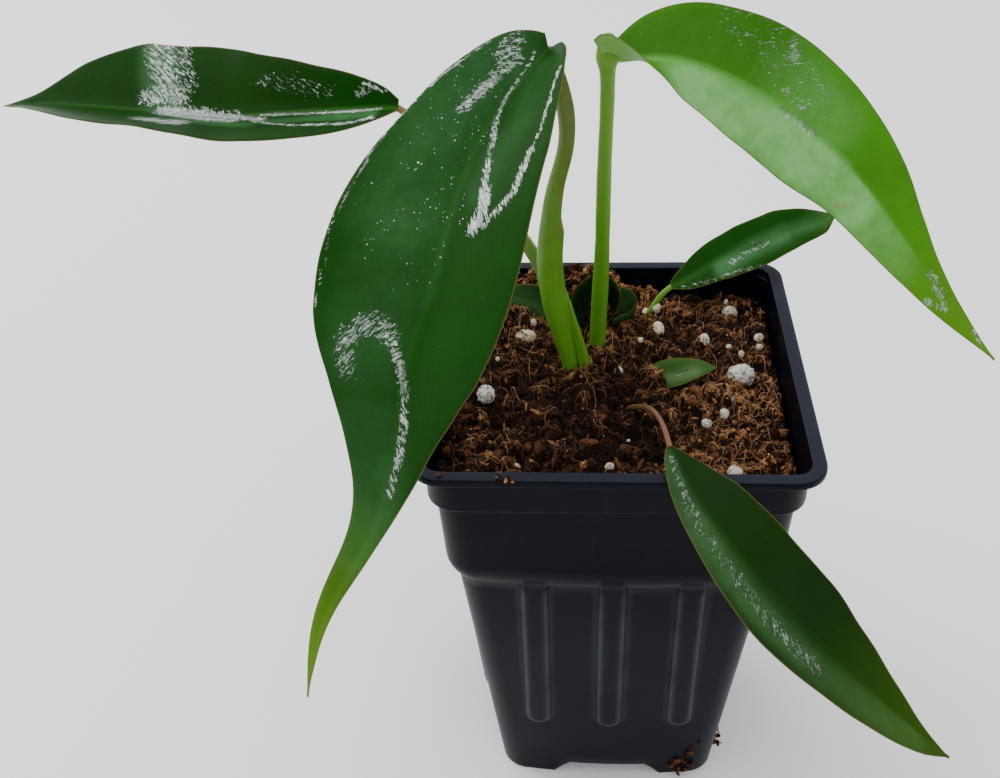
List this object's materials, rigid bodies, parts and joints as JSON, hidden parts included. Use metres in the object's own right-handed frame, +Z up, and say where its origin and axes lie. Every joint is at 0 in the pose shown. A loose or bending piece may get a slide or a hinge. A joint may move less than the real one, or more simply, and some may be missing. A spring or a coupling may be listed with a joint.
{
  "type": "potted philodendron joepii",
  "caption": "Young philodendron with long glossy leaves, drooping tips and slim stalks, in a tapered square black nursery pot of potting mix.",
  "frame": {"origin": "centre of the pot's underside, on the surface that the pot stands on", "axes": "+Z up, -Y towards the viewer of the picture, square to the pot's front face, +X to that viewer's right"},
  "size_m": [0.2625, 0.1445, 0.2274],
  "materials": {
    "black_plastic": "smooth black moulded plastic with a soft sheen",
    "potting_mix": "moist fibrous peat and coir",
    "leaf_dark": "waxy dark green, wet in places",
    "leaf_deep": "waxy very dark green",
    "leaf_light": "soft yellow-green of a young leaf",
    "leaf_old": "dull dark green",
    "stalk_green": "smooth light green stalk",
    "stalk_brown": "thin red-brown stalk",
    "perlite": "chalky white pitted grain"
  },
  "bodies": {
    "root": {"pot": "black_plastic", "soil": "potting_mix", "leaf_large_front": "leaf_dark", "leaf_upper_left": "leaf_dark", "leaf_small_back": "leaf_dark", "leaf_lower_right": "leaf_deep", "leaf_large_right": "leaf_light", "leaf_seedling": "leaf_light", "leaf_old_left": "leaf_old", "leaf_rolled_back": "leaf_old", "petiole_large_front": "stalk_green", "petiole_large_right": "stalk_green", "petiole_upper_left": "stalk_green", "petiole_small_back": "stalk_green", "bud_sheath": "stalk_green", "petiole_lower_right": "stalk_brown", "perlite_right": "perlite", "perlite_left": "perlite", "perlite_back_left": "perlite", "perlite_back_right": "perlite", "perlite_middle": "perlite", "perlite_far_right": "perlite"}
  },
  "joints": []
}
